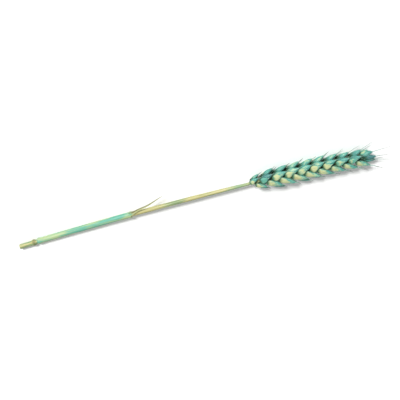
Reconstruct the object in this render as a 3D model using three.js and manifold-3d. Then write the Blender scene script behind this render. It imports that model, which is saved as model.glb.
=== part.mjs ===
// A single dried, dyed wheat ear lying on its side, with its own length of cut straw.
// Millimetres, +Z up. The straw runs along +X from its cut end to the tip of the ear.

import * as THREE from 'three';
import { mergeVertices } from 'three/addons/utils/BufferGeometryUtils.js';
import Module from 'manifold-3d';

const wasm = await Module();
wasm.setup();

// Driving dimensions
const strawLength = 166;          // cut end to the lowest spikelet
const spikeletCount = 18;         // side spikelets, alternately left and right
const internode = 4.3;            // rachis length from one spikelet to the next
const crowding = 0.42;            // how far the lowest joint is moved up the ear, in internodes
const crowdedJoints = 3;          // joints at the foot of the ear that stand closer together
const earLength = spikeletCount * internode + 9;
const axisLength = strawLength + earLength;
const bow = 3.2;                  // sideways bow of the whole axis
const cutEndHeight = 2.0;         // height of the axis above the surface it lies on
const earHeight = 5.35;
const restPoint = 200;            // distance along the axis where the ear carries itself
const tipLift = 1.3;              // rise of the thin end of the ear beyond the rest point
const tipTwist = 12;              // degrees that the ear turns about its axis towards the tip
const gap = 0.3;                  // clearance between neighbouring pieces

const culm = {
  cutRadius: 1.7, boreRadius: 1.05, boreDepth: 8,
  nodeAt: 11, nodeRadius: 2.3, nodeHalfWidth: 1.9,
  sheathedRadius: 1.35, bareRadius: 1.45, neckRadius: 1.1,
};
const rachis = { baseRadius: 1.0, tipRadius: 0.5, zigzag: 0.45 };
const sheath = { start: 13.6, end: 83, innerRadius: 1.72, outerRadius: 2.12, mouthRadius: 2.3 };
const blade = { length: 27, width: 3.0, thickness: 0.6, swing: 15, rise: 2 };

// Each bract starts at `along, out, across` from its spikelet's foot, and points `fan` degrees
// towards the spikelet's upper edge and `lean` degrees away from the rachis.
const florets = [
  { along: 1.2, out: 1, across: 2.1, fan: 11, lean: 2, back: 0.35, length: 10.2, width: 4.8, depth: 3.9, awn: 1 },
  { along: 2, out: 1, across: -2.1, fan: -11, lean: 2, back: 0.35, length: 10.2, width: 4.8, depth: 3.9, awn: 1 },
  { along: 3.4, out: 2.7, across: 0.1, fan: 1, lean: 5, back: 9, length: 9.8, width: 4.2, depth: 3.4, awn: 0.8 },
];
const glumes = [
  { along: 0.1, out: 0.6, across: 3.5, fan: 12, lean: 2, back: 0.3, length: 7.8, width: 4.5, depth: 2.3 },
  { along: 0.5, out: 0.6, across: -3.5, fan: -12, lean: 2, back: 0.3, length: 7.8, width: 4.5, depth: 2.3 },
];
const footPad = { along: 0.9, out: 1.0, length: 3.0, width: 8.2, depth: 2.6 };
const tipSpikelet = { scale: 0.84, inset: 1.7, setBack: 1 };
const spikeletTilt = 18;          // degrees between a spikelet and the rachis

// Share of full size at the foot of the ear and at its tip, and the shares of the ear's length
// where full size is reached and where it ends.
const taper = { foot: 0.62, fullFrom: 0.17, fullTo: 0.5, tip: 0.86 };
const variation = { length: 0.05, fan: 3, lean: 2.5 };
const awnLength = { base: 2.5, tip: 11 };
const awnRadius = 0.3;

const finishes = {
  straw: { color: 0xd9cf94, roughness: 0.5, metalness: 0 },
  sheath: { color: 0x9fd6bb, roughness: 0.6, metalness: 0 },
  glume: { color: 0xc9e0b8, roughness: 0.55, metalness: 0 },
  floret: { color: 0x62c4bb, roughness: 0.55, metalness: 0 },
};

// The bent axis that straw and ear follow

function axisPoint(s) {
  const u = s / axisLength;
  const rise = Math.sin((Math.PI / 2) * THREE.MathUtils.clamp(s / restPoint, 0, 1));
  const pastRest = Math.max(0, (s - restPoint) / (axisLength - restPoint));
  const height = THREE.MathUtils.lerp(cutEndHeight, earHeight, rise) + tipLift * pastRest ** 2;
  return new THREE.Vector3(s, 4 * bow * u * (1 - u), height);
}

// Moves a point given as distance along the axis, sideways and up onto the bent axis.
function ontoAxis(point) {
  const step = 0.5;
  const along = axisPoint(point.x + step).sub(axisPoint(point.x - step)).normalize();
  const side = new THREE.Vector3(-along.y, along.x, 0).normalize();
  const up = new THREE.Vector3().crossVectors(along, side);
  const share = THREE.MathUtils.smoothstep(point.x, restPoint, axisLength);
  const twist = THREE.MathUtils.degToRad(tipTwist) * share;
  const y = point.y * Math.cos(twist) - point.z * Math.sin(twist);
  const z = point.y * Math.sin(twist) + point.z * Math.cos(twist);
  return axisPoint(point.x).addScaledVector(side, y).addScaledVector(up, z);
}

// Solids

function solidFrom(geometry, moved = ontoAxis) {
  const bare = geometry.index ? geometry.toNonIndexed() : geometry.clone();
  bare.deleteAttribute('normal');
  bare.deleteAttribute('uv');
  const merged = mergeVertices(bare, 1e-4);
  const position = merged.getAttribute('position');
  const points = Array.from({ length: position.count }, (_, i) =>
    moved(new THREE.Vector3().fromBufferAttribute(position, i)).toArray()).flat();
  const corners = [];
  for (let i = 0; i < merged.index.count; i += 3) {
    const [a, b, c] = [0, 1, 2].map((j) => merged.index.getX(i + j));
    if (a !== b && b !== c && c !== a) corners.push(a, b, c);
  }
  return new wasm.Manifold(new wasm.Mesh({
    numProp: 3, vertProperties: new Float32Array(points), triVerts: new Uint32Array(corners),
  }));
}

function joined(solids) {
  return solids.reduce((whole, solid) => whole.add(solid));
}

function largestPart(solid) {
  return solid.decompose().reduce((a, b) => (b.volume() > a.volume() ? b : a));
}

// A profile of [distance along, radius] turned about the axis, closed at both ends.
function turned(profile, sides) {
  const points = profile.map(([along, radius]) => new THREE.Vector2(radius, along));
  const geometry = new THREE.LatheGeometry(points, sides);
  const turnToX = new THREE.Matrix4().set(0, 1, 0, 0, -1, 0, 0, 0, 0, 0, 1, 0, 0, 0, 0, 1);
  return geometry.applyMatrix4(turnToX);
}

// Straw and rachis, grown as one piece. `extra` is the clearance kept by the pieces in the ear.

function culmProfile() {
  const { nodeAt, nodeHalfWidth, nodeRadius, cutRadius, boreRadius, boreDepth } = culm;
  return [
    [boreDepth, 0], [boreDepth - 0.6, boreRadius], [0, boreRadius], [0, cutRadius],
    [nodeAt - nodeHalfWidth, cutRadius], [nodeAt - 0.6, nodeRadius], [nodeAt + 0.6, nodeRadius],
    [nodeAt + nodeHalfWidth, culm.sheathedRadius],
    [30, culm.sheathedRadius], [55, culm.sheathedRadius], [sheath.end, culm.bareRadius],
    [110, culm.bareRadius], [135, culm.bareRadius * 0.94], [strawLength - 6, culm.neckRadius],
    [strawLength - 1.5, rachis.baseRadius],
  ];
}

function jointAt(k) {
  return strawLength + internode * (k + crowding * Math.max(0, 1 - k / crowdedJoints) ** 2);
}

function jointNear(x) {
  let nearest = 0;
  for (let k = 1; k < spikeletCount; k += 1) {
    if (Math.abs(jointAt(k) - x) < Math.abs(jointAt(nearest) - x)) nearest = k;
  }
  return nearest;
}

function strawSolid(extra) {
  const profile = culmProfile();
  for (let k = 0; k < spikeletCount; k += 1) {
    const radius = THREE.MathUtils.lerp(rachis.baseRadius, rachis.tipRadius, k / spikeletCount);
    profile.push([jointAt(k), radius + extra]);
  }
  const rachisEnd = strawLength + spikeletCount * internode - 1.5 + extra;
  profile.push([rachisEnd, rachis.tipRadius + extra], [rachisEnd, 0]);
  return solidFrom(turned(profile, 8), (point) => {
    const isInEar = point.x > jointAt(0) - 0.4 && point.x < jointAt(spikeletCount - 1) + 2;
    if (isInEar) point.y += sideOf(jointNear(point.x)) * rachis.zigzag;
    return ontoAxis(point);
  });
}

// Flag leaf: the sheath round the straw and its dried blade

function leafSolid() {
  const { start, end, innerRadius, outerRadius, mouthRadius } = sheath;
  const wall = mouthRadius - outerRadius;
  const tube = turned([
    [start, innerRadius], [start, outerRadius], [(start + end) / 2, outerRadius],
    [end - 3, outerRadius], [end, mouthRadius], [end, innerRadius + wall],
    [end - 3, innerRadius], [(start + end) / 2, innerRadius], [start, innerRadius],
  ], 12);
  const outline = new THREE.Shape();
  outline.moveTo(-1.5, -blade.width / 2);
  outline.quadraticCurveTo(blade.length * 0.6, -blade.width * 0.45, blade.length, 0);
  outline.quadraticCurveTo(blade.length * 0.6, blade.width * 0.45, -1.5, blade.width / 2);
  outline.closePath();
  const strip = new THREE.ExtrudeGeometry(outline, {
    depth: blade.thickness, bevelEnabled: false, curveSegments: 5,
  });
  strip.rotateY(THREE.MathUtils.degToRad(-blade.rise));
  strip.rotateZ(THREE.MathUtils.degToRad(blade.swing));
  strip.translate(end - 0.6, outerRadius * 0.55, outerRadius * 0.5);
  return solidFrom(strip).add(solidFrom(tube));
}

// Spikelets

// A fixed spread of values from -1 to 1, one for each spikelet and bract.
function varied(k, n) {
  const value = Math.sin(k * 12.99 + n * 78.23) * 43758.55;
  return 2 * (value - Math.floor(value)) - 1;
}

function sideOf(k) {
  return k % 2 === 0 ? 1 : -1;
}

// Spikelets are small at the foot of the ear, full-sized in its lower half and smaller to the tip.
function spikeletScale(k) {
  const { lerp, smoothstep } = THREE.MathUtils;
  const t = k / (spikeletCount - 1);
  const towardsTip = lerp(1, taper.tip, smoothstep(t, taper.fullTo, 1));
  return lerp(taper.foot, 1, smoothstep(t, 0, taper.fullFrom)) * towardsTip;
}

// Axes of spikelet k before the axis is bent; the last one, at the tip, stands across the others.
function spikeletFrame(k) {
  const isTip = k === spikeletCount;
  const tilt = THREE.MathUtils.degToRad(isTip ? 0 : spikeletTilt);
  const outward = isTip ? new THREE.Vector3(0, 0, 1) : new THREE.Vector3(0, sideOf(k), 0);
  const across = isTip ? new THREE.Vector3(0, 1, 0) : new THREE.Vector3(0, 0, 1);
  const forward = new THREE.Vector3(1, 0, 0);
  const along = forward.clone().multiplyScalar(Math.cos(tilt)).addScaledVector(outward, Math.sin(tilt));
  const out = outward.clone().multiplyScalar(Math.cos(tilt)).addScaledVector(forward, -Math.sin(tilt));
  const scale = isTip ? tipSpikelet.scale : spikeletScale(k);
  const foot = forward.clone().multiplyScalar(jointAt(k) - (isTip ? tipSpikelet.setBack : 0))
    .addScaledVector(outward, (1 - scale) * (isTip ? 0 : rachis.baseRadius * 1.5));
  return { k, foot, along, out, across, scale, inset: isTip ? tipSpikelet.inset : 0 };
}

function bractSolid(frame, bract, awn, extra) {
  const { k, foot, along, out, across, scale, inset } = frame;
  const fan = THREE.MathUtils.degToRad(bract.fan + variation.fan * varied(k, bract.fan));
  const lean = THREE.MathUtils.degToRad(bract.lean + variation.lean * varied(k, bract.fan + 1));
  const direction = along.clone().multiplyScalar(Math.cos(fan) * Math.cos(lean))
    .addScaledVector(across, Math.sin(fan)).addScaledVector(out, Math.sin(lean)).normalize();
  const faceOut = across.clone().multiplyScalar(Math.sign(bract.across)).addScaledVector(out, bract.back);
  const back = faceOut.addScaledVector(direction, -faceOut.dot(direction)).normalize();
  const breadth = new THREE.Vector3().crossVectors(back, direction);
  const start = foot.clone().addScaledVector(along, bract.along * scale)
    .addScaledVector(out, (bract.out - inset) * scale).addScaledVector(across, bract.across * scale);

  const length = bract.length * scale * (1 + variation.length * varied(k, bract.fan + 2));
  const belly = [[0.08, 0.64], [0.36, 1], [0.75, 0.68]];
  const halfWidth = (bract.width * scale) / 2 + extra;
  const halfDepth = (bract.depth * scale) / 2 + extra;
  const profile = [[-extra, 0], ...belly.map(([t, r]) => [t * length, r])];
  if (awn > 0) profile.push([length, (awnRadius + extra) / halfWidth]);
  profile.push([length + awn + extra, 0]);

  const geometry = turned(profile, 6);
  geometry.scale(1, halfWidth, halfDepth);
  geometry.applyMatrix4(new THREE.Matrix4().makeBasis(direction, breadth, back).setPosition(start));
  return solidFrom(geometry);
}

function footSolid(frame, extra) {
  const { foot, along, out, across, scale } = frame;
  const pad = new THREE.SphereGeometry(0.5, 6, 4);
  const size = [footPad.length, footPad.depth, footPad.width].map((full) => full * scale + 2 * extra);
  pad.scale(...size);
  const start = foot.clone().addScaledVector(out, (footPad.out - frame.inset) * scale)
    .addScaledVector(along, footPad.along * scale);
  pad.applyMatrix4(new THREE.Matrix4().makeBasis(along, out, new THREE.Vector3().crossVectors(along, out))
    .setPosition(start));
  return solidFrom(pad);
}

function floretsOf(k, extra) {
  const share = Math.min(k / spikeletCount, 1);
  const awn = THREE.MathUtils.lerp(awnLength.base, awnLength.tip, share ** 2.5);
  return joined(florets.map((bract) => bractSolid(spikeletFrame(k), bract, awn * bract.awn, extra)));
}

function glumesOf(k, extra) {
  const frame = spikeletFrame(k);
  return joined([...glumes.map((bract) => bractSolid(frame, bract, 0, extra)), footSolid(frame, extra)]);
}

// Assembly

const floor = solidFrom(
  new THREE.BoxGeometry(2 * axisLength, 60, 20).translate(axisLength / 2, 0, -10), (point) => point);

const pieces = [];

// Cuts a piece clear of the pieces already placed and of the surface that it lies on.
function place(name, finish, makeSolid) {
  let cut = makeSolid(0).subtract(floor);
  for (const other of pieces) cut = cut.subtract(other.grown);
  pieces.push({ name, finish, solid: largestPart(cut), grown: makeSolid(gap) });
}

const twoDigits = (k) => String(k + 1).padStart(2, '0');

function meshOf({ name, finish, solid }) {
  const { vertProperties, triVerts, numProp } = solid.getMesh();
  const points = new Float32Array(triVerts.length * 3);
  triVerts.forEach((v, i) => {
    for (let j = 0; j < 3; j += 1) points[3 * i + j] = vertProperties[numProp * v + j];
  });
  const geometry = new THREE.BufferGeometry().setAttribute('position', new THREE.BufferAttribute(points, 3));
  const mesh = new THREE.Mesh(geometry, new THREE.MeshStandardMaterial(finish));
  mesh.name = name;
  return mesh;
}

place('straw', finishes.straw, strawSolid);
place('flag_leaf', finishes.sheath, leafSolid);
for (let k = 0; k <= spikeletCount; k += 1) {
  const label = k === spikeletCount ? 'tip_spikelet' : `spikelet_${twoDigits(k)}`;
  place(`${label}_florets`, finishes.floret, (extra) => floretsOf(k, extra));
  place(`${label}_glumes`, finishes.glume, (extra) => glumesOf(k, extra));
}

const group = new THREE.Group();
for (const piece of pieces) group.add(meshOf(piece));
const bounds = new THREE.Box3().setFromObject(group);
const middle = bounds.getCenter(new THREE.Vector3());
group.position.set(-middle.x, -middle.y, -bounds.min.z);

export default group;
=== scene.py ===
import math

import bpy
import numpy as np
from mathutils import Matrix, Vector


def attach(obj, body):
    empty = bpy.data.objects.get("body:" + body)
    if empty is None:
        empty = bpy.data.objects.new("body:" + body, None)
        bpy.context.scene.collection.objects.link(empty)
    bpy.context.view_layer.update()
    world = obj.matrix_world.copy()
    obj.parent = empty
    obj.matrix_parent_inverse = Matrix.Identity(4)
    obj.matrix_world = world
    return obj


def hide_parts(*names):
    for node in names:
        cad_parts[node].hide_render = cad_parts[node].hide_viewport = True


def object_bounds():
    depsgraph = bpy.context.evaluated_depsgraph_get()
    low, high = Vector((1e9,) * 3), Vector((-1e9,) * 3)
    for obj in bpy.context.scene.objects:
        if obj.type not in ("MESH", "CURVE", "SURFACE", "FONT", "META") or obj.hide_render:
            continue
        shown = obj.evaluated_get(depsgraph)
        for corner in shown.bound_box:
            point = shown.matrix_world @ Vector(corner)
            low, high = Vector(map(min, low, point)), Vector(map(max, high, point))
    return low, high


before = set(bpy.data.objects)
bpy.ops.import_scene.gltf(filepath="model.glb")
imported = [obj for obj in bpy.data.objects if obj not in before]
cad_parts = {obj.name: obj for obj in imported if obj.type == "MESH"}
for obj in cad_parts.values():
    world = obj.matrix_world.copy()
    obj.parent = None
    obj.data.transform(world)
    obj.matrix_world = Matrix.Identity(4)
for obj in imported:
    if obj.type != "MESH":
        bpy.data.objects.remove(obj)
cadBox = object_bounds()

millimetre = 0.001    # shapes are worked out in millimetres on a straight ear, then bent

# The line that straw and ear lie along, from the cut end at 0: the same line as the frame's.
lie = {
    "strawLength": 166.0, "joints": 18, "jointLength": 4.3, "pastLastJoint": 9.0,
    "crowding": 0.42, "crowdedJoints": 3,
    "bow": 3.2, "cutEndHeight": 2.0, "earHeight": 5.35, "restsAt": 200.0,
    "tipLift": 1.3, "tipTwist": 12.0, "pressDepth": 0.3,
}
lieLength = lie["strawLength"] + lie["joints"] * lie["jointLength"] + lie["pastLastJoint"]


def smoothstep(value, low, high):
    t = np.clip((np.asarray(value, float) - low) / (high - low), 0, 1)
    return t * t * (3 - 2 * t)


def lerp(low, high, t):
    return low + (high - low) * t


def bell(value, middle, width):
    return np.exp(-((value - middle) / width) ** 2)


def unit(vectors):
    return vectors / np.linalg.norm(vectors, axis=-1, keepdims=True)


def varied(k, draw):
    # A steady value from -1 to 1 for each spikelet and draw, the same one that the frame uses.
    value = math.sin(k * 12.99 + draw * 78.23) * 43758.55
    return 2 * (value - math.floor(value)) - 1


def jointPlace(k):
    # The lowest joints of the ear stand closer together.
    crowd = np.maximum(0, 1 - np.asarray(k) / lie["crowdedJoints"]) ** 2
    return lie["strawLength"] + lie["jointLength"] * (k + lie["crowding"] * crowd)


def jointCount(s):
    joints = np.arange(-1, lie["joints"] + 2)
    return np.interp(s, jointPlace(joints), joints)


def linePoint(s):
    u = s / lieLength
    rise = np.sin(math.pi / 2 * np.clip(s / lie["restsAt"], 0, 1))
    pastRest = np.maximum(0, (s - lie["restsAt"]) / (lieLength - lie["restsAt"]))
    height = lerp(lie["cutEndHeight"], lie["earHeight"], rise) + lie["tipLift"] * pastRest ** 2
    return np.stack([s, 4 * lie["bow"] * u * (1 - u), height], -1)


def bent(points):
    s, y, z = points.T
    along = unit(linePoint(s + 0.5) - linePoint(s - 0.5))
    side = unit(np.stack([-along[:, 1], along[:, 0], 0 * s], -1))
    up = np.cross(along, side)
    twist = math.radians(lie["tipTwist"]) * smoothstep(s, lie["restsAt"], lieLength)
    sideways = (y * np.cos(twist) - z * np.sin(twist))[:, None]
    upwards = (y * np.sin(twist) + z * np.cos(twist))[:, None]
    return linePoint(s) + side * sideways + up * upwards


def pressed(points):
    # What would dip into the surface below is flattened on it.
    depth = lie["pressDepth"]
    z = points[:, 2]
    points[:, 2] = np.where(z < depth, depth * np.exp(np.minimum(z, depth) / depth - 1), z)
    return points


def cutEndCentre():
    # The middle of the frame's cut face: the corners that lie within 0.3 mm of its end.
    corners = np.array([v.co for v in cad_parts["straw"].data.vertices]) / millimetre
    face = corners[corners[:, 0] < corners[:, 0].min() + 0.3]
    return (face.min(0) + face.max(0)) / 2


toFrame = cutEndCentre() - linePoint(0.0)


# Meshes and node trees

def sheetGrid(rows, columns, firstAcross=-1.0):
    # A sheet's own places: u runs from 0 to 1 up its rows, and v ends at 1 across its columns.
    u = np.linspace(0, 1, rows)[:, None] + np.zeros((1, columns))
    v = np.linspace(firstAcross, 1, columns)[None, :] + 0 * u
    return u, v


def fullTurn(columns):
    return 2 * math.pi * np.arange(columns)[None, :] / columns


def around(x, reach, turn):
    # Places at this reach from the x axis, turned from straight up.
    return np.stack([x, reach * np.sin(turn), reach * np.cos(turn)], -1)


def meshFrom(name, vertices, faces, marks=None):
    mesh = bpy.data.meshes.new(name)
    mesh.from_pydata([tuple(v) for v in vertices], [], [tuple(f) for f in faces])
    for label, values in (marks or {}).items():
        mark = mesh.attributes.new(label, "FLOAT", "POINT")
        mark.data.foreach_set("value", np.asarray(values, np.float32).ravel())
    mesh.polygons.foreach_set("use_smooth", [True] * len(mesh.polygons))
    mesh.update()
    return mesh


def objectFrom(mesh):
    made = bpy.data.objects.new(mesh.name, mesh)
    bpy.context.scene.collection.objects.link(made)
    return made


def gridFaces(rows, columns, first=0, closed=False):
    faces = []
    for i in range(rows - 1):
        for j in range(columns if closed else columns - 1):
            k = (j + 1) % columns
            low, high = first + i * columns, first + (i + 1) * columns
            faces.append((high + j, high + k, low + k, low + j))
    return faces


def sheetMesh(name, outer, inner, marks, mirrored=False):
    # A thin wall: an outer and an inner grid of points, joined round their rim.
    rows, columns = outer.shape[:2]
    count = rows * columns
    faces = gridFaces(rows, columns) + [f[::-1] for f in gridFaces(rows, columns, count)]
    rim = list(range(columns)) + [i * columns + columns - 1 for i in range(1, rows)]
    rim += [(rows - 1) * columns + j for j in range(columns - 2, -1, -1)]
    rim += [i * columns for i in range(rows - 2, 0, -1)]
    faces += [(a, b, b + count, a + count) for a, b in zip(rim, rim[1:] + rim[:1])]
    if mirrored:
        faces = [f[::-1] for f in faces]
    vertices = np.concatenate([outer.reshape(-1, 3), inner.reshape(-1, 3)])
    values = {label: np.tile(v.ravel(), 2) for label, v in marks.items()}
    values["inside"] = np.repeat([0.0, 1.0], count)
    return meshFrom(name, vertices, faces, values)


def roundMesh(name, rings, marks):
    # A closed form from a grid of rings, with a point at each end.
    rows, columns = rings.shape[:2]
    faces = gridFaces(rows, columns, closed=True)
    vertices = list(rings.reshape(-1, 3))
    values = {label: list(v.ravel()) for label, v in marks.items()}
    for row, last in ((0, False), (rows - 1, True)):
        pole = len(vertices)
        vertices.append(rings[row].mean(0))
        for label in values:
            values[label].append(values[label][row * columns])
        for j in range(columns):
            a, b = row * columns + j, row * columns + (j + 1) % columns
            faces.append((pole, b, a) if last else (pole, a, b))
    return meshFrom(name, vertices, faces, values)


def put(tree, kind, sockets=None, **settings):
    node = tree.nodes.new(kind)
    for label, value in settings.items():
        setattr(node, label, value)
    for label, value in (sockets or {}).items():
        if isinstance(value, bpy.types.Node):
            value = value.outputs[0]
        if isinstance(value, bpy.types.NodeSocket):
            tree.links.new(value, node.inputs[label])
        else:
            node.inputs[label].default_value = value
    return node


def calc(tree, operation, *values):
    return put(tree, "ShaderNodeMath", dict(enumerate(values)), operation=operation).outputs[0]


def ramp(tree, value, start, end, low=0.0, high=1.0):
    made = put(tree, "ShaderNodeMapRange", {0: value, 1: start, 2: end, 3: low, 4: high},
               interpolation_type="SMOOTHSTEP")
    return made.outputs[0]


def mixed(tree, factor, first, second):
    made = put(tree, "ShaderNodeMix", {0: factor, 6: first, 7: second}, data_type="RGBA")
    return made.outputs[2]


def vectorCalc(tree, operation, sockets):
    return put(tree, "ShaderNodeVectorMath", sockets, operation=operation).outputs[0]


def seededNoise(tree, place, seed, scale, detail, roughness=0.5):
    return put(tree, "ShaderNodeTexNoise", {
        "Vector": place, "W": seed, "Scale": scale, "Detail": detail, "Roughness": roughness,
    }, noise_dimensions="4D").outputs


def pointMark(tree, label, kind="FLOAT"):
    return put(tree, "GeometryNodeInputNamedAttribute", {"Name": label}, data_type=kind).outputs[0]


def newTree(name, kind, inputs, outputs):
    tree = bpy.data.node_groups.new(name, kind)
    for label, socketType, value in inputs:
        socket = tree.interface.new_socket(label, in_out="INPUT", socket_type="NodeSocket" + socketType)
        if value is not None:
            socket.default_value = value
    for label, socketType in outputs:
        tree.interface.new_socket(label, in_out="OUTPUT", socket_type="NodeSocket" + socketType)
    given = tree.nodes.new("NodeGroupInput")
    result = tree.nodes.new("NodeGroupOutput")
    return tree, given.outputs, result.inputs


def grown(carrier, tree, values):
    # Lets a geometry tree work on the carrier and keeps the plain mesh that comes out.
    modifier = carrier.modifiers.new(tree.name, "NODES")
    modifier.node_group = tree
    for item in tree.interface.items_tree:
        if item.in_out == "INPUT" and item.name in values:
            modifier[item.identifier] = values[item.name]
    depsgraph = bpy.context.evaluated_depsgraph_get()
    mesh = bpy.data.meshes.new_from_object(carrier.evaluated_get(depsgraph),
                                           preserve_all_data_layers=True, depsgraph=depsgraph)
    for label in ("turn", "size", "shape", "toothed", "hairy"):    # no finish reads these
        if label in mesh.attributes:
            mesh.attributes.remove(mesh.attributes[label])
    bpy.data.objects.remove(carrier)
    return mesh


def finished(name, mesh, node):
    # Bends a piece onto its line, in metres, and hands it over to the frame.
    points = np.zeros(len(mesh.vertices) * 3)
    mesh.vertices.foreach_get("co", points)
    points = (pressed(bent(points.reshape(-1, 3))) + toFrame) * millimetre
    mesh.vertices.foreach_set("co", points.ravel())
    mesh.name = name
    mesh.update()
    piece = objectFrom(mesh)
    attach(piece, "root")
    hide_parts(node)
    return piece


# Colours and finishes

fibreGrain = {
    # fine streaks and broad blotches, each drawn from a span of its noise
    "streakDetail": 4.0, "streakRoughness": 0.65, "streakSpan": (0.32, 0.68),
    "blotchRate": (1.3, 0.22, 0.22), "blotchDetail": 2.0, "blotchSpan": (0.36, 0.64),
}


def makeFibres(grain):
    # Plant fibres in a place whose x runs along the growth.
    tree, given, result = newTree("plantFibres", "ShaderNodeTree", [
        ("Place", "Vector", None), ("Seed", "Float", 0.0), ("Fineness", "Float", 1.0)],
        [("Streaks", "Float"), ("Blotches", "Float")])
    fine = seededNoise(tree, given["Place"], given["Seed"], given["Fineness"],
                       grain["streakDetail"], grain["streakRoughness"])
    squeezed = vectorCalc(tree, "MULTIPLY", {0: given["Place"], 1: grain["blotchRate"]})
    broad = seededNoise(tree, squeezed, given["Seed"], 1.0, grain["blotchDetail"])
    tree.links.new(ramp(tree, fine[0], *grain["streakSpan"]), result["Streaks"])
    tree.links.new(ramp(tree, broad[0], *grain["blotchSpan"]), result["Blotches"])
    return tree


dyeTake = {
    # how much the fibres add to the amount of dye, then where it takes and where it pools
    "streaks": 0.55, "blotches": 0.5, "taken": (0.55, 1.15), "pooled": (1.35, 2.2),
}


def makeDyeWash(take):
    # Dye over bleached straw: pale where it was rubbed off, strong where it took, deep where it pooled.
    tree, given, result = newTree("dyeWash", "ShaderNodeTree", [
        ("Amount", "Float", 0.5), ("Streaks", "Float", 0.5), ("Blotches", "Float", 0.5),
        ("Pale", "Color", None), ("Dyed", "Color", None), ("Pooled", "Color", None)],
        [("Color", "Color"), ("Dye", "Float")])
    streaky = calc(tree, "MULTIPLY_ADD", given["Streaks"], take["streaks"], given["Amount"])
    total = calc(tree, "MULTIPLY_ADD", given["Blotches"], take["blotches"], streaky)
    taken = ramp(tree, total, *take["taken"])
    washed = mixed(tree, taken, given["Pale"], given["Dyed"])
    deep = mixed(tree, ramp(tree, total, *take["pooled"]), washed, given["Pooled"])
    tree.links.new(deep, result["Color"])
    tree.links.new(taken, result["Dye"])
    return tree


fibreGroup = makeFibres(fibreGrain)
dyeGroup = makeDyeWash(dyeTake)


def paint(red, green, blue):
    return (*[((c / 255 + 0.055) / 1.055) ** 2.4 for c in (red, green, blue)], 1.0)


def painted(tree, colour, share, tone):
    return mixed(tree, share, colour, paint(*tone))


def attribute(tree, label):
    return put(tree, "ShaderNodeAttribute", attribute_name=label).outputs["Fac"]


def objectPlace(tree, stretch):
    spot = put(tree, "ShaderNodeTexCoord").outputs["Object"]
    return vectorCalc(tree, "MULTIPLY", {0: spot, 1: stretch})


def newMaterial(name):
    material = bpy.data.materials.new(name)
    material.use_nodes = True
    tree = material.node_tree
    return material, tree, tree.nodes["Principled BSDF"]


def dyedFibres(tree, look, place, seed, amount):
    # Fibres in this place and the dye that they took, in the look's three dye colours.
    fibres = put(tree, "ShaderNodeGroup", {"Place": place, "Seed": seed}, node_tree=fibreGroup).outputs
    wash = put(tree, "ShaderNodeGroup", {
        "Amount": amount, "Streaks": fibres["Streaks"], "Blotches": fibres["Blotches"],
        "Pale": paint(*look["pale"]), "Dyed": paint(*look["dyed"]), "Pooled": paint(*look["pooled"]),
    }, node_tree=dyeGroup).outputs
    return fibres, wash


def coverWith(tree, shader, look, colour, streaks, relief):
    # The colour, a gloss that the streaks break up, and the relief as a fine bump.
    rough = ramp(tree, streaks, 0.0, 1.0, *look["roughness"])
    bump = put(tree, "ShaderNodeBump", {
        "Strength": look["relief"], "Distance": look["reliefDepth"] * millimetre, "Height": relief})
    for label, value in (("Base Color", colour), ("Roughness", rough), ("Normal", bump.outputs[0])):
        tree.links.new(value, shader.inputs[label])


# In each look the darkest olive, and where it fades out along a bract, are painted shade for the foot and the
# inner faces.
bractLooks = {
    "glume": {
        "pale": (192, 200, 146), "dyed": (84, 166, 144), "pooled": (16, 108, 104),
        "heart": (188, 172, 116), "dry": (222, 232, 206), "paintedShade": (66, 92, 50), "awn": (84, 100, 86),
        "lengthRate": 2.2, "widthRate": 9.0, "footDye": 0.95, "tipDye": 0.55, "marginDye": 0.35,
        "dryMargin": 0.45, "dryTip": 0.6, "paintedShadeEnd": 0.36, "nerves": 7, "nerveLight": 0.16,
        "roughness": (0.38, 0.60), "relief": 0.5, "reliefDepth": 0.06,
    },
    "floret": {
        "pale": (172, 200, 156), "dyed": (56, 152, 138), "pooled": (8, 104, 108),
        "heart": (176, 180, 124), "dry": (204, 228, 204), "paintedShade": (46, 84, 54), "awn": (78, 94, 84),
        "lengthRate": 2.6, "widthRate": 10.0, "footDye": 0.9, "tipDye": 0.35, "marginDye": 0.25,
        "dryMargin": 0.5, "dryTip": 0.35, "paintedShadeEnd": 0.46, "nerves": 7, "nerveLight": 0.3,
        "roughness": (0.36, 0.58), "relief": 0.5, "reliefDepth": 0.06,
    },
}
bractZones = {
    # where each zone starts and is full along a bract: the tip is at 1, the awn beyond it
    "foot": (0.3, 0.02), "tip": (0.5, 1.0), "dryTip": (0.86, 0.99), "dryEnd": (1.04, 1.0), "awn": (1.1, 1.7),
    # the same off its middle: the margins are at 1
    "margin": (0.35, 0.8), "dryMargin": (0.86, 0.97), "heart": (0.45, 0.05),
    # then the heart's blotches and dye limit, and the shares of painted shade at the foot and on the inner
    # faces
    "heartBlotches": (0.5, 1.0), "heartBelow": 0.75, "footShadeShare": 0.9, "insideShadeShare": 0.75,
    "nerveRelief": 0.8, "seedRate": 19.0,
}
nerveSharpness = 8.0    # of the nerves' colour and of their ridges


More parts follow.
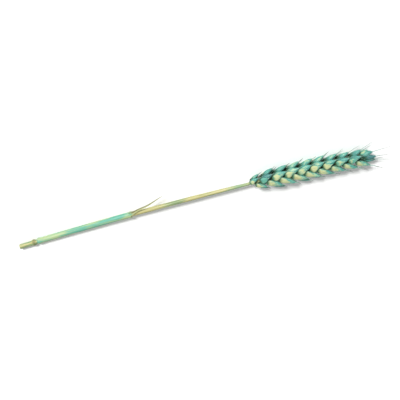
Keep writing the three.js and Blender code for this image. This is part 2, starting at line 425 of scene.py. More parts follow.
def makeBractFinish(name, look, zones):
    # Bracts: dye in the foot, the tip and the margins, a bare belly, raised nerves, painted shade at the foot
    # and on the inner faces, dark awns.
    material, tree, shader = newMaterial(name)
    along, across = attribute(tree, "along"), attribute(tree, "across")
    off = calc(tree, "ABSOLUTE", across)
    amount = attribute(tree, "dye")
    for zone, measure in (("foot", along), ("tip", along), ("margin", off)):
        amount = calc(tree, "MULTIPLY_ADD", ramp(tree, measure, *zones[zone]), look[zone + "Dye"], amount)
    place = put(tree, "ShaderNodeCombineXYZ", {0: calc(tree, "MULTIPLY", along, look["lengthRate"]),
                                               1: calc(tree, "MULTIPLY", across, look["widthRate"])})
    seed = calc(tree, "MULTIPLY", attribute(tree, "seed"), zones["seedRate"])
    fibres, wash = dyedFibres(tree, look, place, seed, amount)
    heart = calc(tree, "MULTIPLY", ramp(tree, off, *zones["heart"]),
                 ramp(tree, fibres["Blotches"], *zones["heartBlotches"]))
    heart = calc(tree, "MULTIPLY", heart, calc(tree, "SUBTRACT", zones["heartBelow"], wash["Dye"]))
    colour = painted(tree, wash["Color"], calc(tree, "MAXIMUM", heart, 0.0), look["heart"])
    nerve = calc(tree, "COSINE", calc(tree, "MULTIPLY", across, math.pi * look["nerves"] / 2))
    nerve = calc(tree, "POWER", calc(tree, "ABSOLUTE", nerve), nerveSharpness)
    colour = painted(tree, colour, calc(tree, "MULTIPLY", nerve, look["nerveLight"]), look["dry"])
    dry = calc(tree, "MULTIPLY", ramp(tree, off, *zones["dryMargin"]), look["dryMargin"])
    dry = calc(tree, "MULTIPLY_ADD", ramp(tree, along, *zones["dryTip"]), look["dryTip"], dry)
    dry = calc(tree, "MULTIPLY", calc(tree, "MINIMUM", dry, 1.0), ramp(tree, along, *zones["dryEnd"]))
    colour = painted(tree, colour, dry, look["dry"])
    # Painted shade: a dark olive laid over each bract's foot and over its inner faces, where shade falls
    # between the bracts.
    paintedShade = calc(tree, "MULTIPLY", ramp(tree, along, look["paintedShadeEnd"], 0.0), zones["footShadeShare"])
    paintedShade = calc(tree, "MULTIPLY_ADD", attribute(tree, "inside"), zones["insideShadeShare"], paintedShade)
    colour = painted(tree, colour, calc(tree, "MINIMUM", paintedShade, 1.0), look["paintedShade"])
    colour = painted(tree, colour, ramp(tree, along, *zones["awn"]), look["awn"])
    relief = calc(tree, "MULTIPLY_ADD", nerve, zones["nerveRelief"], fibres["Streaks"])
    coverWith(tree, shader, look, colour, fibres["Streaks"], relief)
    return material


strawLook = {
    "pale": (190, 184, 124), "dyed": (124, 164, 122), "pooled": (56, 122, 100), "shade": (112, 120, 68),
    # the joint's own dark ring, the pale pith of the cut rim, and a dark brown for the painted shade inside
    # the bore
    "joint": (110, 108, 62), "pith": (220, 212, 176), "hollow": (88, 76, 44),
    "shadeFrom": 0.45, "shadeShare": 0.5, "stretch": (34.0, 950.0, 950.0), "seed": 4.0,
    "roughness": (0.32, 0.57), "relief": 0.4, "reliefDepth": 0.05,
}


def makeStrawFinish(name, look):
    # Glossy straw: lengthwise streaks, olive shading between the ribs, a little dye near the ear, and painted
    # shade inside the bore.
    material, tree, shader = newMaterial(name)
    place = objectPlace(tree, look["stretch"])
    fibres, wash = dyedFibres(tree, look, place, look["seed"], attribute(tree, "dye"))
    shade = calc(tree, "MULTIPLY", ramp(tree, fibres["Streaks"], look["shadeFrom"], 1.0), look["shadeShare"])
    colour = painted(tree, wash["Color"], shade, look["shade"])
    # the bore's inner wall is darkened with painted shade
    for mark in ("joint", "pith", "hollow"):
        colour = painted(tree, colour, attribute(tree, mark), look[mark])
    coverWith(tree, shader, look, colour, fibres["Streaks"], fibres["Streaks"])
    return material


leafLook = {
    "pale": (172, 194, 142), "dyed": (98, 174, 150), "pooled": (28, 132, 126), "dry": (180, 176, 124),
    "midrib": (98, 84, 46), "edge": (214, 218, 182), "dryShare": 0.8,
    "midribShare": 0.85, "midribZone": (0.3, 0.06), "edgeShare": 0.7, "edgeZone": (0.88, 0.97),
    "stretch": (40.0, 900.0, 900.0), "seed": 9.0,
    "roughness": (0.36, 0.61), "relief": 0.45, "reliefDepth": 0.05,
}


def makeLeafFinish(name, look):
    # Sheath and blade: mint straw with a turquoise run down one side, and a dead blade with a brown fold.
    material, tree, shader = newMaterial(name)
    place = objectPlace(tree, look["stretch"])
    fibres, wash = dyedFibres(tree, look, place, look["seed"], attribute(tree, "dye"))
    off = calc(tree, "ABSOLUTE", attribute(tree, "across"))
    blade = attribute(tree, "blade")
    colour = painted(tree, wash["Color"], calc(tree, "MULTIPLY", blade, look["dryShare"]), look["dry"])
    midrib = calc(tree, "MULTIPLY", ramp(tree, off, *look["midribZone"]), blade)
    colour = painted(tree, colour, calc(tree, "MULTIPLY", midrib, look["midribShare"]), look["midrib"])
    edge = calc(tree, "MULTIPLY", ramp(tree, off, *look["edgeZone"]), look["edgeShare"])
    colour = painted(tree, colour, edge, look["edge"])
    coverWith(tree, shader, look, colour, fibres["Streaks"], fibres["Streaks"])
    return material


glumeFinish = makeBractFinish("dyed_glume", bractLooks["glume"], bractZones)
floretFinish = makeBractFinish("dyed_lemma", bractLooks["floret"], bractZones)
strawFinish = makeStrawFinish("bleached_straw", strawLook)
leafFinish = makeLeafFinish("dyed_leaf", leafLook)
print("finishes made")


# One bract of each kind, of unit length, half width and half depth, growing along x

bractShapes = {
    # foot and point bend the outline; wrap is the half angle at the foot and the tip, in degrees
    "lemma": {
        "rows": 26, "columns": 33, "foot": 0.55, "point": 0.92, "tip": 0.07, "wrap": (120, 88),
        "facing": 0, "keel": 0.07, "keelPlace": 0.0, "nerves": 7, "nerveHeight": 0.022, "wall": 0.055,
        "shoulder": 0.06, "hook": 0.12, "girth": 1.0, "hasTeeth": True,
    },
    "palea": {
        "rows": 16, "columns": 17, "foot": 0.55, "point": 0.92, "tip": 0.06, "wrap": (88, 90),
        "facing": 180, "keel": -0.2, "keelPlace": 0.0, "nerves": 2, "nerveHeight": 0.03, "wall": 0.05,
        "shoulder": 0.02, "hook": 0.0, "girth": 0.91, "hasTeeth": False,
    },
    "glume": {
        "rows": 24, "columns": 33, "foot": 0.42, "point": 0.66, "tip": 0.09, "wrap": (96, 72),
        "facing": 0, "keel": 0.1, "keelPlace": 0.25, "nerves": 7, "nerveHeight": 0.03, "wall": 0.09,
        "shoulder": 0.16, "hook": 0.3, "girth": 1.0, "hasTeeth": True,
    },
}
bractCurves = {
    # the same for all three bracts
    "footStart": 0.06, "wrapCurve": 1.5, "shoulderCurve": 1.6, "hookCurve": 4,
    "keelWidth": 0.12, "keelRise": (0.05, 0.5), "nerveRise": (0.08, 0.4), "nerveEnd": (0.85, 1),
    "rimThinning": 0.6, "rimCurve": 4, "teethFrom": 0.7, "teethTo": 0.98,
}


def bractObject(name, form, mirrored=False):
    curves = bractCurves
    u, v = sheetGrid(form["rows"], form["columns"])
    outline = (u + curves["footStart"]) ** form["foot"] * (1 - u) ** form["point"]
    outline = lerp(form["tip"], 1, outline / outline.max()) * form["girth"]
    swing = v * np.radians(lerp(*form["wrap"], u ** curves["wrapCurve"]))
    keel = form["keel"] * bell(v, form["keelPlace"], curves["keelWidth"]) * smoothstep(u, *curves["keelRise"])
    ridges = form["nerveHeight"] * np.abs(np.cos(math.pi * form["nerves"] / 2 * v)) ** nerveSharpness
    ridges = ridges * smoothstep(u, *curves["nerveRise"]) * (1 - smoothstep(u, *curves["nerveEnd"]))
    angle = swing + math.radians(form["facing"])

    def layer(shrink):
        reach = outline * (1 + keel + ridges - shrink)
        x = u * (1 - form["shoulder"] * np.abs(v) ** curves["shoulderCurve"])
        y = reach * np.sin(angle) * (-1 if mirrored else 1)
        z = reach * np.cos(angle) + form["hook"] * u ** curves["hookCurve"]
        return np.stack([x, y, z], -1)

    wall = form["wall"] * (1 - curves["rimThinning"] * v ** curves["rimCurve"])
    onKeel = np.isclose(v, form["keelPlace"]) & (u > curves["teethFrom"]) & (u < curves["teethTo"])
    marks = {"along": u, "across": v, "toothed": 1.0 * (onKeel & form["hasTeeth"])}
    return objectFrom(sheetMesh(name, layer(0 * u), layer(wall), marks, mirrored))


awnShape = {
    "rows": 9, "sides": 6, "endShare": 0.22, "bend": 1.6,
    "barbs": 11, "firstBarb": 0.7, "barbTurn": 2.4, "barbLength": 0.035,
    # a barb's corners, the last its point: how far forwards, the reach and the turn aside
    "barbCorners": [(0, 0.6, -0.5), (0, 0.6, 0.5), (-0.4, 0.5, 0), (1, 1.7, 0)],
    "barbFaces": [(0, 1, 3), (2, 0, 3), (1, 2, 3), (0, 2, 1)],
}


def awnObject(name, form):
    u = np.linspace(0, 1, form["rows"])[:, None] + np.zeros((1, form["sides"]))
    turn = fullTurn(form["sides"]) + 0 * u
    radius = lerp(1, form["endShare"], u)
    rings = around(u, radius, turn)
    rings[..., 2] += form["bend"] * u ** 2
    mesh = roundMesh(name, rings, {"along": 1 + u, "across": 0 * u})
    vertices = [tuple(v.co) for v in mesh.vertices]
    faces = [tuple(p.vertices) for p in mesh.polygons]
    for i in range(form["barbs"]):
        first = len(vertices)
        x = (i + form["firstBarb"]) / (form["barbs"] + 1)
        for forwards, reach, aside in form["barbCorners"]:
            height = lerp(1, form["endShare"], x) * reach
            swing = i * form["barbTurn"] + aside
            vertices.append((x + forwards * form["barbLength"], height * math.sin(swing),
                             height * math.cos(swing) + form["bend"] * x * x))
        faces += [tuple(first + corner for corner in face) for face in form["barbFaces"]]
    alongs = [1 + v[0] for v in vertices]
    return objectFrom(meshFrom(name, vertices, faces, {"along": alongs, "across": [0] * len(vertices)}))


padShape = {"rings": 8, "sides": 14, "along": 0.16, "across": 0.9, "hairsFrom": 1.2, "hairsTo": 2.6}


def padObject(name, form):
    # The swollen foot that a spikelet's glumes grow from.
    turn = np.linspace(0, math.pi, form["rings"] + 2)[1:-1, None] + np.zeros((1, form["sides"]))
    about = fullTurn(form["sides"]) + 0 * turn
    rings = around(-np.cos(turn), np.sin(turn), about)
    hairy = 1.0 * ((turn > form["hairsFrom"]) & (turn < form["hairsTo"]))
    marks = {"along": form["along"] + 0 * turn, "across": form["across"] + 0 * turn, "hairy": hairy}
    return objectFrom(roundMesh(name, rings, marks))


bractObjects = {
    "Lemma": bractObject("lemma_shape", bractShapes["lemma"]),
    "Palea": bractObject("palea_shape", bractShapes["palea"]),
    "Glume": bractObject("glume_shape", bractShapes["glume"]),
    "Glume mirrored": bractObject("glume_mirrored_shape", bractShapes["glume"], mirrored=True),
    "Awn": awnObject("awn_shape", awnShape),
    "Pad": padObject("pad_shape", padShape),
}
shapeNumber = {label: number for number, label in enumerate(bractObjects)}
spineKinds = {
    # by the mark that they grow on: name, length, width, and how far they lean forwards
    "toothed": ("Tooth", 0.3, 0.05, 0.8),
    "hairy": ("Hair", 1.0, 0.03, 0.5),
}


def makeBractTree():
    # Sets a bract on each carrier point, wrinkles them all a little, puts teeth on the keels and hairs
    # on the pads, and gives them their finish.
    spineSizes = []
    for kind, length, width, _ in spineKinds.values():
        spineSizes += [(kind + " Length", "Float", length), (kind + " Width", "Float", width)]
    tree, given, result = newTree("bractCluster", "GeometryNodeTree", [
        ("Points", "Geometry", None), *[(label, "Object", None) for label in bractObjects],
        ("Wrinkle Height", "Float", 0.1), ("Wrinkle Rate", "Float", 0.4), ("Seed", "Float", 0.0),
        *spineSizes, ("Finish", "Material", None)], [("Mesh", "Geometry")])
    wanted = pointMark(tree, "shape", "INT")
    turn, size = pointMark(tree, "turn", "FLOAT_VECTOR"), pointMark(tree, "size", "FLOAT_VECTOR")
    together = tree.nodes.new("GeometryNodeJoinGeometry")
    for label, number in shapeNumber.items():
        shape = put(tree, "GeometryNodeObjectInfo", {"Object": given[label]})
        chosen = put(tree, "FunctionNodeCompare", {2: wanted, 3: number}, data_type="INT", operation="EQUAL")
        copies = put(tree, "GeometryNodeInstanceOnPoints", {
            "Points": given["Points"], "Selection": chosen, "Instance": shape.outputs["Geometry"],
            "Rotation": turn, "Scale": size})
        tree.links.new(copies.outputs[0], together.inputs[0])
    real = put(tree, "GeometryNodeRealizeInstances", {"Geometry": together})
    spot = put(tree, "GeometryNodeInputPosition")
    noise = seededNoise(tree, spot, given["Seed"], given["Wrinkle Rate"], 1.5)
    centred = vectorCalc(tree, "SUBTRACT", {0: noise["Color"], 1: (0.5, 0.5, 0.5)})
    push = vectorCalc(tree, "SCALE", {0: centred, "Scale": given["Wrinkle Height"]})
    wrinkled = put(tree, "GeometryNodeSetPosition", {"Geometry": real, "Offset": push})
    dressed = tree.nodes.new("GeometryNodeJoinGeometry")
    tree.links.new(wrinkled.outputs[0], dressed.inputs[0])
    for mark, (kind, _, _, forwards) in spineKinds.items():
        chosen = put(tree, "FunctionNodeCompare", {0: pointMark(tree, mark), 1: 0.5},
                     operation="GREATER_THAN")
        normal = put(tree, "GeometryNodeInputNormal")
        lean = vectorCalc(tree, "ADD", {0: normal, 1: (forwards, 0, 0)})
        aim = put(tree, "FunctionNodeAlignRotationToVector", {"Vector": lean}, axis="Z")
        spine = put(tree, "GeometryNodeMeshCone", {
            "Vertices": 3, "Radius Bottom": given[kind + " Width"], "Depth": given[kind + " Length"]})
        spines = put(tree, "GeometryNodeInstanceOnPoints", {
            "Points": wrinkled, "Selection": chosen, "Instance": spine, "Rotation": aim})
        tree.links.new(spines.outputs[0], dressed.inputs[0])
    whole = put(tree, "GeometryNodeRealizeInstances", {"Geometry": dressed})
    done = put(tree, "GeometryNodeSetMaterial", {"Geometry": whole, "Material": given["Finish"]})
    tree.links.new(done.outputs[0], result["Mesh"])
    return tree


# Spikelets

spikeletSizes = {
    "tilt": 18, "neckScale": 0.62, "fullFrom": 0.17, "fullTo": 0.5, "topScale": 0.86,
    "tipScale": 0.84, "tipSetBack": 1.0, "tipInset": 1.7, "footStep": 1.5,
    "fanVaries": 3, "leanVaries": 2.5, "lengthVaries": 0.05, "paleaShare": 0.96,
    "awnLow": 2.5, "awnHigh": 11.0, "awnCurve": 2.5, "awnVaries": 0.25, "awnRadius": 0.19, "awnFrom": 0.97,
    "wrinkleHeight": 0.55, "wrinkleRate": 0.33,
}


def onBothSides(bract, **others):
    return [bract, {**bract, "across": -bract["across"], "fan": -bract["fan"], **others}]


floretBracts = [
    *onBothSides({"along": 1.2, "out": 1.0, "across": 2.1, "fan": 11, "lean": 2, "length": 10.2,
                  "width": 4.8, "depth": 3.9, "back": 0.35, "awn": 1}, along=2.0),
    {"along": 3.4, "out": 2.7, "across": 0.1, "fan": 1, "lean": 5, "length": 9.8,
     "width": 4.2, "depth": 3.4, "back": 9, "awn": 0.8},
]
glumeBracts = onBothSides({"along": 0.1, "out": 0.6, "across": 3.5, "fan": 12, "lean": 2, "length": 7.8,
                           "width": 4.5, "depth": 2.3, "back": 0.3}, along=0.5)
footPad = {"along": 0.9, "out": 1.0, "length": 3.0, "depth": 2.6, "width": 8.2, "dye": 0.5}


def rowSide(k):
    return 1 if k % 2 == 0 else -1


def spikeletScale(k):
    t = k / (lie["joints"] - 1)
    towardsTip = lerp(1, spikeletSizes["topScale"], smoothstep(t, spikeletSizes["fullTo"], 1))
    return lerp(spikeletSizes["neckScale"], 1, smoothstep(t, 0, spikeletSizes["fullFrom"])) * towardsTip


def spikeletStand(k):
    # Where a spikelet is joined to the rachis, and its directions: along, out and across.
    sizes = spikeletSizes
    isTip = k == lie["joints"]
    tilt = 0 if isTip else math.radians(sizes["tilt"])
    forward = np.array([1.0, 0, 0])
    outward = np.array([0, 0, 1.0]) if isTip else np.array([0, float(rowSide(k)), 0])
    across = np.array([0, 1.0, 0]) if isTip else np.array([0, 0, 1.0])
    scale = sizes["tipScale"] if isTip else spikeletScale(k)
    foot = forward * (jointPlace(k) - (sizes["tipSetBack"] if isTip else 0))
    foot = foot + outward * (0 if isTip else (1 - scale) * sizes["footStep"])
    return {
        "foot": foot, "across": across, "scale": scale, "inset": sizes["tipInset"] if isTip else 0,
        "along": forward * math.cos(tilt) + outward * math.sin(tilt),
        "out": outward * math.cos(tilt) - forward * math.sin(tilt),
    }


def bractStand(k, bract):
    # Where a bract starts, the directions of its length, breadth and back, and its size.
    stand = spikeletStand(k)
    along, out, across, scale = (stand[label] for label in ("along", "out", "across", "scale"))
    fan = math.radians(bract["fan"] + spikeletSizes["fanVaries"] * varied(k, bract["fan"]))
    lean = math.radians(bract["lean"] + spikeletSizes["leanVaries"] * varied(k, bract["fan"] + 1))
    direction = unit(along * math.cos(fan) * math.cos(lean) + across * math.sin(fan) + out * math.sin(lean))
    face = across * np.sign(bract["across"]) + out * bract["back"]
    back = unit(face - direction * np.dot(face, direction))
    breadth = np.cross(back, direction)
    start = stand["foot"] + along * bract["along"] * scale + across * bract["across"] * scale
    start = start + out * (bract["out"] - stand["inset"]) * scale
    length = bract["length"] * scale * (1 + spikeletSizes["lengthVaries"] * varied(k, bract["fan"] + 2))
    return {
        "start": start, "directions": (direction, breadth, back), "outside": np.dot(breadth, out) > 0,
        "size": (length, bract["width"] * scale / 2, bract["depth"] * scale / 2),
    }


def carrierPoint(label, start, directions, size, dye, seed):
    turn = tuple(Matrix(tuple(map(tuple, directions))).transposed().to_euler())
    return {"at": start, "turn": turn, "size": size, "shape": shapeNumber[label], "dye": dye, "seed": seed}


def carrierObject(name, points):
    mesh = bpy.data.meshes.new(name)
    mesh.from_pydata([tuple(point["at"]) for point in points], [], [])
    for label, kind in (("turn", "FLOAT_VECTOR"), ("size", "FLOAT_VECTOR"), ("shape", "INT"),
                        ("dye", "FLOAT"), ("seed", "FLOAT")):
        mark = mesh.attributes.new(label, kind, "POINT")
        field = "vector" if kind == "FLOAT_VECTOR" else "value"
        mark.data.foreach_set(field, np.array([point[label] for point in points]).ravel())
    return objectFrom(mesh)


dyeing = {
    # the share of dye by piece, row and height in the ear; some bracts are soaked with it
    "floret": 0.42, "floretVaries": 0.24, "glume": -0.1, "glumeVaries": 0.18, "upperRow": 0.14,
    "neck": 0.12, "neckJoints": 3, "tip": 0.35, "tipFrom": 12, "soakedAbove": 0.7, "soaked": 0.72,
}


def dyeOf(k, number, part):
    share = dyeing[part] + dyeing[part + "Varies"] * varied(k, number + 31)
    share += dyeing["upperRow"] * rowSide(k) + dyeing["neck"] * (1 - smoothstep(k, 0, dyeing["neckJoints"]))
    share += dyeing["tip"] * smoothstep(k, dyeing["tipFrom"], lie["joints"])
    if varied(k, number + 57) > dyeing["soakedAbove"]:
        share += dyeing["soaked"]
    return float(share)


def floretCluster(k):
    sizes = spikeletSizes
    awnLength = lerp(sizes["awnLow"], sizes["awnHigh"], min(k / lie["joints"], 1) ** sizes["awnCurve"])
    points = []
    for number, bract in enumerate(floretBracts):
        stand = bractStand(k, bract)
        start, directions, (length, width, depth) = stand["start"], stand["directions"], stand["size"]
        hook = directions[2] * (bractShapes["lemma"]["hook"] * depth)
        awnStart = start + directions[0] * length * sizes["awnFrom"] + hook
        awn = awnLength * bract["awn"] * (1 + sizes["awnVaries"] * varied(k, number + 5))
        marks = dyeOf(k, number, "floret"), varied(k, number + 11)
        points += [
            carrierPoint("Lemma", start, directions, (length, width, depth), *marks),
            carrierPoint("Palea", start, directions, (length * sizes["paleaShare"], width, depth), *marks),
            carrierPoint("Awn", awnStart, directions, (awn, sizes["awnRadius"], sizes["awnRadius"]), *marks),
        ]
    return points


def glumeCluster(k):
    stand = spikeletStand(k)
    scale, along, out = stand["scale"], stand["along"], stand["out"]
    padAt = stand["foot"] + out * (footPad["out"] - stand["inset"]) * scale + along * footPad["along"] * scale
    padSize = tuple(footPad[label] * scale / 2 for label in ("length", "depth", "width"))
    padTurn = (along, out, np.cross(along, out))
    points = [carrierPoint("Pad", padAt, padTurn, padSize, footPad["dye"], varied(k, 3))]
    for number, bract in enumerate(glumeBracts):
        place = bractStand(k, bract)
        label = "Glume" if place["outside"] else "Glume mirrored"
        points.append(carrierPoint(label, place["start"], place["directions"], place["size"],
                                   dyeOf(k, number, "glume"), varied(k, number + 21)))
    return points


bractTree = makeBractTree()
spikeletParts = {"floret": (floretCluster, floretFinish), "glume": (glumeCluster, glumeFinish)}


def growSpikelets():
    for k in range(lie["joints"] + 1):
        label = "tip_spikelet" if k == lie["joints"] else f"spikelet_{k + 1:02d}"
        for part, (cluster, finish) in spikeletParts.items():
            carrier = carrierObject(f"{label}_{part}_carrier", cluster(k))
            mesh = grown(carrier, bractTree, {
                **bractObjects, "Seed": float(k), "Finish": finish,
                "Wrinkle Height": spikeletSizes["wrinkleHeight"],
                "Wrinkle Rate": spikeletSizes["wrinkleRate"]})
            finished(f"{label}_{part}_bracts", mesh, f"{label}_{part}s")


growSpikelets()
for shape in bractObjects.values():
    bpy.data.objects.remove(shape)
print("spikelets grown")


# Straw and rachis

def makeRibTree():
    # Raises fine lengthwise ribs on a sheet whose points know their angle round the straw.
    tree, given, result = newTree("lengthwiseRibs", "GeometryNodeTree", [
        ("Mesh", "Geometry", None), ("Ribs", "Float", 20.0), ("Rib Height", "Float", 0.03),
        ("Dent Height", "Float", 0.1), ("Dent Rate", "Float", 0.1), ("Seed", "Float", 0.0),
        ("Finish", "Material", None)], [("Mesh", "Geometry")])
    spot, normal = put(tree, "GeometryNodeInputPosition"), put(tree, "GeometryNodeInputNormal")
    stretched = vectorCalc(tree, "MULTIPLY", {0: spot, 1: (0.35, 1.0, 1.0)})
    dents = seededNoise(tree, stretched, given["Seed"], given["Dent Rate"], 2.0)
    wave = calc(tree, "SINE", calc(tree, "MULTIPLY", pointMark(tree, "angle"), given["Ribs"]))
    rib = calc(tree, "MULTIPLY", wave, given["Rib Height"])
    dent = calc(tree, "MULTIPLY", calc(tree, "SUBTRACT", dents[0], 0.5), given["Dent Height"])
    height = calc(tree, "MULTIPLY", calc(tree, "ADD", rib, dent), pointMark(tree, "ribbed"))
    push = vectorCalc(tree, "SCALE", {0: normal, "Scale": height})
    moved = put(tree, "GeometryNodeSetPosition", {"Geometry": given["Mesh"], "Offset": push})
    real = put(tree, "GeometryNodeRealizeInstances", {"Geometry": moved})
    done = put(tree, "GeometryNodeSetMaterial", {"Geometry": real, "Material": given["Finish"]})
    tree.links.new(done.outputs[0], result["Mesh"])
    return tree


straw = {
    "sides": 80, "step": 0.9, "boreDepth": 8.0, "boreRadius": 1.05, "cutRadius": 1.7, "cutLength": 9,
    "cutSlant": 0.22, "cutRagged": 0.03, "nodeAt": 11.0, "nodeSwell": 0.7, "nodeWidth": 1.3,
    # the straw's radius at places along it, up to the rachis, which starts and stops short by its inset
    "radii": [(13, 1.35), (55, 1.35), (83, 1.45), (110, 1.45), (135, 1.36), (160, 1.1)],
    "rachisStart": 1.0, "rachisEnd": 0.5, "rachisInset": 1.5,
    "zigzag": 0.45, "zigzagWidth": 0.42, "collar": 0.45, "collarWidth": 0.16,
    "ribs": 22, "ribHeight": 0.028, "dentHeight": 0.22, "dentRate": 0.12, "seed": 3.0,
}
strawDye = {
    # a thin wash, more of it below the ear and at the cut end, and one run along the straw
    "wash": 0.04, "belowEar": 0.5, "belowEarLength": 26, "cutEnd": 0.2, "cutEndZone": (30, 8),
    "run": 0.22, "runTurn": -1.9, "runWidth": 0.6,
}
rachisTop = jointPlace(lie["joints"]) - straw["rachisInset"]


def strawRadius(s):
    cut, rachisFoot = straw["cutRadius"], lie["strawLength"] - straw["rachisInset"]
    profile = [(0, cut), (straw["cutLength"], cut), *straw["radii"],
               (rachisFoot, straw["rachisStart"]), (rachisTop, straw["rachisEnd"])]
    radius = np.interp(s, *zip(*profile))
    radius = radius + straw["nodeSwell"] * bell(s, straw["nodeAt"], straw["nodeWidth"])
    place = jointCount(s)
    inEar = (place > -0.5) & (place < lie["joints"] - 0.4)
    collar = inEar * straw["collar"] * bell(place, np.round(place), straw["collarWidth"])
    return radius * (1 + collar)


def strawMesh():
    # One closed skin: out of the bore, over the cut rim, along the straw and up to the rachis's top.
    depth, bore, cut, end = (straw[label] for label in ("boreDepth", "boreRadius", "cutRadius", "rachisEnd"))
    inside = [(depth, 0.3 * bore), (depth - 0.3, 0.85 * bore), (depth - 1, bore), (depth / 2, bore),
              (0.4, bore), (0.08, 1.02 * bore)]
    rim = [(0.0, 1.12 * bore), (0.0, 0.96 * cut), (0.12, cut)]
    outer = np.arange(0.6, rachisTop, straw["step"])
    top = [(rachisTop + 0.25, 0.75 * end), (rachisTop + 0.4, 0.3 * end)]
    s, radius = np.array([*inside, *rim, *zip(outer, strawRadius(outer)), *top]).T
    isInside = np.arange(len(s))[:, None] < len(inside)
    isRim = (~isInside) & (s[:, None] < 0.05)
    isSkin = (~isInside) & (s[:, None] > 0.5)
    turn = fullTurn(straw["sides"]) + 0 * s[:, None]
    x = s[:, None] + 0 * turn
    place = jointCount(x)
    side = np.where(np.round(place) % 2 == 0, 1, -1)
    inEar = smoothstep(place, -0.6, 0) * (place < lie["joints"] - 0.5)
    sway = inEar * side * straw["zigzag"] * bell(place, np.round(place), straw["zigzagWidth"])
    cutFace = straw["cutSlant"] * np.cos(turn - 0.7) + straw["cutRagged"] * np.sin(9 * turn)
    dye = strawDye["wash"] + strawDye["cutEnd"] * smoothstep(x, *strawDye["cutEndZone"])
    dye = dye + strawDye["run"] * bell(np.cos(turn - strawDye["runTurn"]), 1, strawDye["runWidth"])
    ear = lie["strawLength"]
    marks = {
        "angle": turn, "ribbed": isSkin * (1 - 0.6 * smoothstep(x, ear - 6, ear + 2)),
        "joint": 0.85 * bell(x, straw["nodeAt"] + 0.2, 0.9) * ~isInside,
        # the bore's inner wall is marked for its painted shade
        "pith": isRim + 0 * turn, "hollow": isInside * 0.9 + 0 * turn,
        "dye": dye + strawDye["belowEar"] * smoothstep(x, ear - strawDye["belowEarLength"], ear),
    }
    rings = around(x + cutFace * (x < 0.2), radius[:, None], turn)
    rings[..., 1] += sway
    return roundMesh("straw_form", rings, marks)


ribTree = makeRibTree()


def ribbedPiece(name, form, sizes, finish, node):
    mesh = grown(form, ribTree, {
        "Ribs": float(sizes["ribs"]), "Rib Height": sizes["ribHeight"], "Seed": sizes["seed"],
        "Dent Height": sizes["dentHeight"], "Dent Rate": sizes["dentRate"], "Finish": finish})
    finished(name, mesh, node)


ribbedPiece("straw_and_rachis", objectFrom(strawMesh()), straw, strawFinish, "straw")
print("straw drawn")


# Flag leaf: a sheath wrapped round the straw, its ligule, and the dead folded blade

leaf = {
    "start": 13.4, "end": 83.0,
    "ribs": 26, "ribHeight": 0.035, "dentHeight": 0.16, "dentRate": 0.15, "seed": 8.0,
}
sheath = {
    "rows": 96, "columns": 96, "innerRadius": 1.74, "wall": 0.14, "seamAt": 62, "lap": 58, "lapLift": 0.2,
    "baseTuck": 0.34, "baseSwell": 0.3, "mouthFlare": 0.32, "mouthSlant": 0.5, "mouthRagged": 0.12,
    "dye": 0.18, "run": 0.55, "runTurn": 25, "baseDye": 0.25,
}


def sheathMesh():
    start, end = leaf["start"], leaf["end"]
    u, v = sheetGrid(sheath["rows"], sheath["columns"], 0.0)
    s = lerp(start, end, u)
    turn = np.radians(sheath["seamAt"] + v * (360 + sheath["lap"]))
    lapping = smoothstep(v, 1 - 1.6 * sheath["lap"] / 360, 1)
    radius = sheath["innerRadius"] + sheath["wall"] + sheath["lapLift"] * lapping
    radius = radius + sheath["mouthFlare"] * smoothstep(s, end - 3, end) ** 2
    radius = radius - sheath["baseTuck"] * bell(s, start, 0.5)
    radius = radius + sheath["baseSwell"] * bell(s, start + 1.5, 1.0)
    slant = sheath["mouthSlant"] * np.cos(turn - 0.9) + sheath["mouthRagged"] * np.sin(9 * turn)
    x = s + smoothstep(s, end - 6, end) * slant
    along = (s - start) / (end - start)
    run = sheath["run"] * bell(np.cos(turn - math.radians(sheath["runTurn"])), 1, 0.7)
    run = run * smoothstep(along, 0.3, 0.75) * (1 - 0.8 * smoothstep(along, 0.86, 0.97))
    marks = {"angle": turn, "ribbed": 1 + 0 * u, "blade": 0 * u, "across": 2 * v - 1,
             "dye": sheath["dye"] + run + sheath["baseDye"] * bell(along, 0.0, 0.06)}
    inner = around(x, radius - sheath["wall"], turn)
    return sheetMesh("sheath_form", around(x, radius, turn), inner, marks)


blade = {
    "rows": 60, "columns": 25, "length": 27.0, "width": 3.0, "wall": 0.12, "neck": 0.86, "edge": 0.05,
    "fold": 0.62, "swing": 15, "rise": 2, "twist": 38, "wave": 0.35, "waves": 1.3, "seat": (1.17, 1.41),
    "setBack": 0.8, "dye": 0.25,
}


def bladeMesh():
    t, v = sheetGrid(blade["rows"], blade["columns"])
    taper = (1 - t ** 2.2) ** 0.8 * lerp(1, blade["neck"], smoothstep(t, 0, 0.3))
    half = blade["width"] / 2 * taper + blade["edge"]
    opening = lerp(1.0, blade["fold"], smoothstep(t, 0.02, 0.25))
    twist = np.radians(blade["twist"]) * smoothstep(t, 0.2, 1)
    wave = blade["wave"] * np.sin(2 * math.pi * t * blade["waves"] + 0.4) * smoothstep(t, 0.1, 0.4)
    flat = half * v * opening
    rise = half * np.sqrt(0.05 + v ** 2) * np.sqrt(1 - 0.85 * opening ** 2) + wave * 0.4
    side = flat * np.cos(twist) - rise * np.sin(twist) + wave
    up = flat * np.sin(twist) + rise * np.cos(twist)
    swing, lift = math.radians(blade["swing"]), math.radians(blade["rise"])
    run = t * blade["length"]

    def layer(down):
        x = leaf["end"] - blade["setBack"] + run * math.cos(swing) - side * math.sin(swing)
        y = blade["seat"][0] + run * math.sin(swing) + side * math.cos(swing)
        z = blade["seat"][1] + run * math.sin(lift) + up - down * blade["wall"]
        return np.stack([x, y, z], -1)

    marks = {"angle": v * 1.2, "ribbed": 0.6 + 0 * t, "blade": smoothstep(t, 0.02, 0.12), "across": v,
             "dye": blade["dye"] * (1 - t)}
    return sheetMesh("blade_form", layer(0), layer(1), marks)


ligule = {
    "rows": 10, "columns": 60, "facing": 40, "halfWrap": 150, "radius": 1.62, "spread": 0.22, "wall": 0.07,
    "height": 1.1, "setBack": 0.9, "auricle": 1.6, "auricleAt": 0.62, "auricleWidth": 0.09,
}


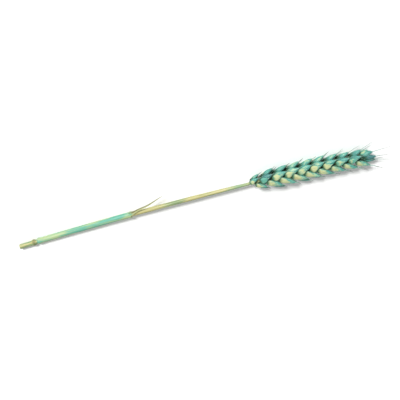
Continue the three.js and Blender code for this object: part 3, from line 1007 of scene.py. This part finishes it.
def liguleMesh():
    # The thin papery collar that stands in the sheath's mouth, drawn out to a claw on each side.
    t, v = sheetGrid(ligule["rows"], ligule["columns"])
    turn = np.radians(ligule["facing"]) + v * np.radians(ligule["halfWrap"])
    ragged = 1 + 0.18 * np.sin(11 * v) + 0.12 * np.sin(23 * v + 1)
    claw = ligule["auricle"] * bell(np.abs(v), ligule["auricleAt"], ligule["auricleWidth"])
    x = leaf["end"] - ligule["setBack"] + t * (ligule["height"] * ragged + claw * 0.5)
    radius = ligule["radius"] + ligule["spread"] * t + t * claw * 0.35
    inner = around(x, radius - ligule["wall"], turn)
    marks = {"angle": turn, "ribbed": 0 * t, "blade": 0.4 + 0 * t, "across": 0.9 + 0 * t, "dye": 0 * t}
    return sheetMesh("ligule_form", around(x, radius, turn), inner, marks)


def leafForm():
    # Sheath, blade and ligule in one mesh, with all their marks.
    vertices, faces, marks = [], [], {label: [] for label in ("angle", "ribbed", "blade", "across", "dye")}
    for mesh in (sheathMesh(), bladeMesh(), liguleMesh()):
        first = len(vertices)
        vertices += [tuple(v.co) for v in mesh.vertices]
        faces += [tuple(first + i for i in p.vertices) for p in mesh.polygons]
        for label in marks:
            marks[label] += [item.value for item in mesh.attributes[label].data]
        bpy.data.meshes.remove(mesh)
    return objectFrom(meshFrom("leaf_form", vertices, faces, marks))


ribbedPiece("flag_leaf_sheath_and_blade", leafForm(), leaf, leafFinish, "flag_leaf")
print("flag leaf wrapped")


# Floor, light and camera

studio = {
    "floor": (252, 252, 251), "floorRoughness": 0.9, "floorHalf": 1.5, "world": 0.34,
    "lens": 85.0, "frameWidth": 0.272, "tiltInFrame": 16.5, "leanUp": 26.0, "targetHeight": 0.005,
}
lamps = {
    # right and up are as the camera sees them, above is from the floor; a sun's size is in degrees
    "key": {"kind": "SUN", "power": 3.1, "size": 14.0, "right": -0.45, "up": 0.75, "above": 0.95,
            "distance": 0.7},
    "fill": {"kind": "AREA", "power": 1.3, "size": 0.8, "right": 0.7, "up": -0.4, "above": 1.1,
             "distance": 0.9},
}


def makeFloor():
    half = studio["floorHalf"]
    corners = [(-half, -half, 0), (half, -half, 0), (half, half, 0), (-half, half, 0)]
    mesh = meshFrom("studio_floor", corners, [(0, 1, 2, 3)])
    material, tree, shader = newMaterial("floor_paper")
    shader.inputs["Base Color"].default_value = paint(*studio["floor"])
    shader.inputs["Roughness"].default_value = studio["floorRoughness"]
    mesh.materials.append(material)
    objectFrom(mesh)


def addLamp(name, lamp, target, right, up):
    light = bpy.data.lights.new(name, lamp["kind"])
    light.energy = lamp["power"]
    if lamp["kind"] == "SUN":
        light.angle = math.radians(lamp["size"])
    else:
        light.size = lamp["size"]
    made = bpy.data.objects.new(name, light)
    aim = (right * lamp["right"] + up * lamp["up"] + Vector((0, 0, lamp["above"]))).normalized()
    made.location = target + aim * lamp["distance"]
    made.rotation_euler = aim.to_track_quat("Z", "Y").to_euler()
    bpy.context.scene.collection.objects.link(made)


def addCamera(target, right, up):
    camera = bpy.data.objects.new("camera", bpy.data.cameras.new("camera"))
    lean = math.radians(studio["leanUp"])
    away = Vector((0, 0, 1)) * math.cos(lean) + up * math.sin(lean)
    turn = Matrix((right, away.cross(right), away)).transposed().to_4x4()
    distance = studio["frameWidth"] * studio["lens"] / camera.data.sensor_width
    camera.data.lens = studio["lens"]
    camera.matrix_world = Matrix.Translation(target + away * distance) @ turn
    bpy.context.scene.collection.objects.link(camera)
    bpy.context.scene.camera = camera


def makeAir():
    # Even light from all round, and white where the camera sees past the floor.
    world = bpy.data.worlds.new("studio_air")
    world.use_nodes = True
    air = world.node_tree
    background = air.nodes["Background"].inputs
    background["Color"].default_value = (1, 1, 1, 1)
    seen = put(air, "ShaderNodeLightPath").outputs["Is Camera Ray"]
    air.links.new(ramp(air, seen, 0.0, 1.0, studio["world"], 1.0), background["Strength"])
    bpy.context.scene.world = world


def makeStudio():
    target = (cadBox[0] + cadBox[1]) / 2
    target.z = studio["targetHeight"]
    roll = math.radians(studio["tiltInFrame"])
    right, up = Vector((math.cos(roll), -math.sin(roll), 0)), Vector((math.sin(roll), math.cos(roll), 0))
    addCamera(target, right, up)
    for name, lamp in lamps.items():
        addLamp(name, lamp, target, right, up)
    makeAir()
    bpy.context.scene.view_settings.view_transform = "Standard"


makeFloor()
makeStudio()
print("studio set")
